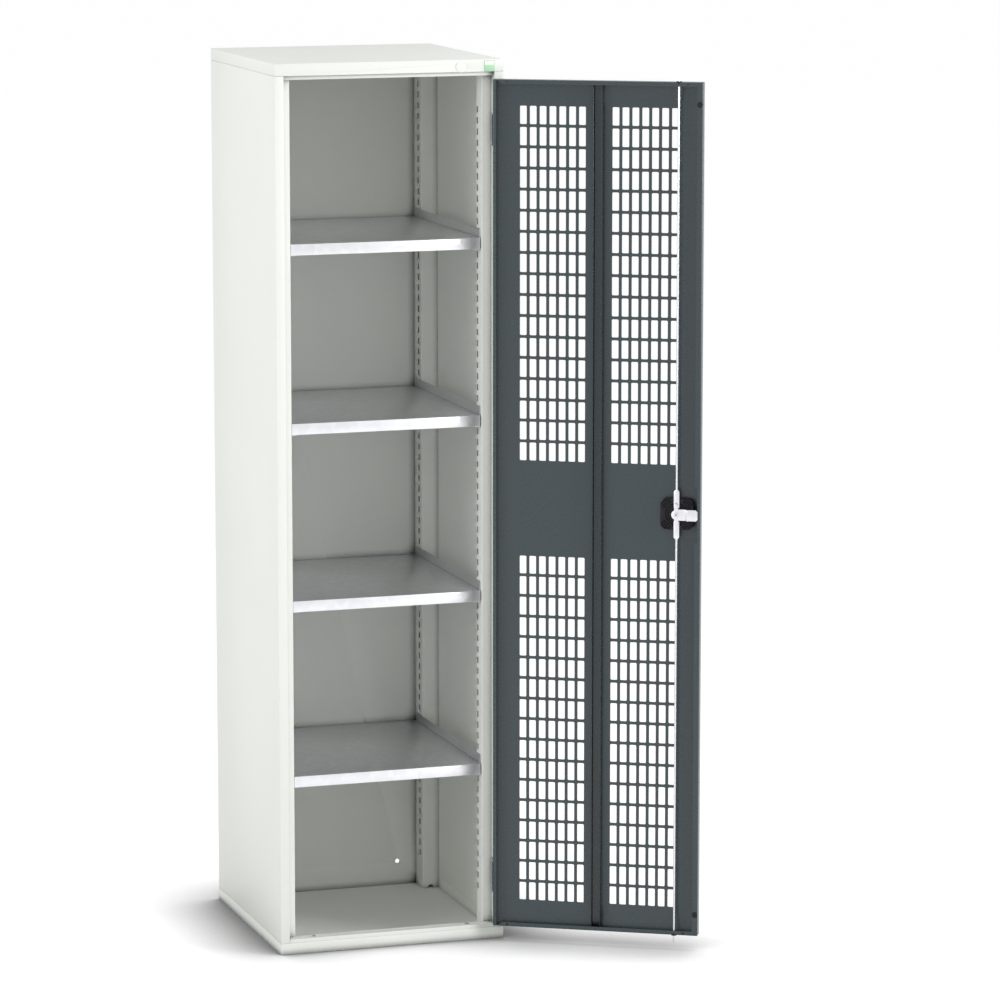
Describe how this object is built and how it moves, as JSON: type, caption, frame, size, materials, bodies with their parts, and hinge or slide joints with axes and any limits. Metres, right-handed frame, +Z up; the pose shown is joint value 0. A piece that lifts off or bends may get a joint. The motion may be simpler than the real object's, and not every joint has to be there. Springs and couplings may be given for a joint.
{
  "type": "ventilated storage cabinet",
  "caption": "Tall folded-steel storage cabinet with one perforated hinged door, hook-in shelves on slotted posts and a turn lock that throws rods into the frame.",
  "frame": {"origin": "centre of the base's underside, on the floor", "axes": "+Z up, -Y towards the front opening, +X towards the hinge side"},
  "size_m": [0.9109, 0.816, 2],
  "materials": {
    "carcass_paint": "satin powder coat",
    "door_paint": "satin powder coat",
    "zinc_sheet": "galvanised",
    "zinc_steel": "zinc plated",
    "black_plastic": "fine texture",
    "black_rubber": "soft",
    "label_green": "printed film"
  },
  "bodies": {
    "carcass": {"side_panel_left": "carcass_paint", "side_panel_right": "carcass_paint", "back_panel": "carcass_paint", "top_tray": "carcass_paint", "bottom_tray": "carcass_paint", "top_rail": "carcass_paint", "sill_rail": "carcass_paint", "post_front_left": "carcass_paint", "post_front_right": "carcass_paint", "post_rear_left": "carcass_paint", "post_rear_right": "carcass_paint", "shelf_1": "zinc_sheet", "shelf_2": "zinc_sheet", "shelf_3": "zinc_sheet", "shelf_4": "zinc_sheet", "bracket_1_left": "zinc_steel", "bracket_1_right": "zinc_steel", "bracket_2_left": "zinc_steel", "bracket_2_right": "zinc_steel", "bracket_3_left": "zinc_steel", "bracket_3_right": "zinc_steel", "bracket_4_left": "zinc_steel", "bracket_4_right": "zinc_steel", "hinge_frame_leaf_lower": "zinc_steel", "hinge_frame_leaf_upper": "zinc_steel", "hinge_pin_lower": "zinc_steel", "hinge_pin_upper": "zinc_steel", "fascia_blank": "carcass_paint", "fascia_label": "label_green"},
    "door": {"door_panel": "door_paint", "centre_stiffener": "door_paint", "hinge_door_leaf_lower": "door_paint", "hinge_door_leaf_upper": "door_paint", "lock_dish": "black_plastic", "lock_housing": "black_plastic", "bump_stop_lower": "black_rubber", "bump_stop_upper": "black_rubber"},
    "lock": {"turn_handle": "black_plastic", "lock_spindle": "zinc_steel", "lock_cam": "zinc_steel", "cam_screw": "zinc_steel"},
    "key": {"key_plug": "zinc_steel"},
    "upper_guide": {"upper_rod_guide": "black_plastic"},
    "lower_guide": {"lower_rod_guide": "black_plastic"},
    "upper_rod": {"upper_rod": "zinc_steel"},
    "lower_rod": {"lower_rod": "zinc_steel"}
  },
  "joints": [
    {"name": "door_hinge", "type": "hinge", "parent": "carcass", "child": "door", "pos_m": [0.239, -0.2765, 0.997], "axis": [0, 0, 1], "range_deg": [-150, 30]},
    {"name": "lock_turn", "type": "hinge", "parent": "door", "child": "lock", "pos_m": [0.59649, -0.49791, 0.997], "axis": [0.5, 0.866, 0], "range_deg": [0, 90]},
    {"name": "key_turn", "type": "hinge", "parent": "lock", "child": "key", "pos_m": [0.59999, -0.49185, 0.997], "axis": [0.5, 0.866, 0], "range_deg": [0, 90]},
    {"name": "upper_guide_swivel", "type": "hinge", "parent": "door", "child": "upper_guide", "pos_m": [0.59199, -0.5057, 1.9577], "axis": [-0.5, -0.866, 0], "range_deg": [0, 1.22]},
    {"name": "lower_guide_swivel", "type": "hinge", "parent": "door", "child": "lower_guide", "pos_m": [0.59199, -0.5057, 0.0363], "axis": [-0.5, -0.866, 0], "range_deg": [0, 1.22]},
    {"name": "upper_rod_slide", "type": "slide", "parent": "upper_guide", "child": "upper_rod", "axis": [0, 0, -1], "range_m": [0, 0.02]},
    {"name": "lower_rod_slide", "type": "slide", "parent": "lower_guide", "child": "lower_rod", "axis": [0, 0, 1], "range_m": [0, 0.02]}
  ],
  "couplings": [
    {"joint": "lock_turn", "follows": "upper_rod_slide", "rad_per_m": 78.54},
    {"joint": "lower_rod_slide", "follows": "upper_rod_slide", "ratio": 1},
    {"joint": "upper_guide_swivel", "follows": "upper_rod_slide", "rad_per_m": 1.0626},
    {"joint": "lower_guide_swivel", "follows": "upper_rod_slide", "rad_per_m": 1.0626}
  ]
}
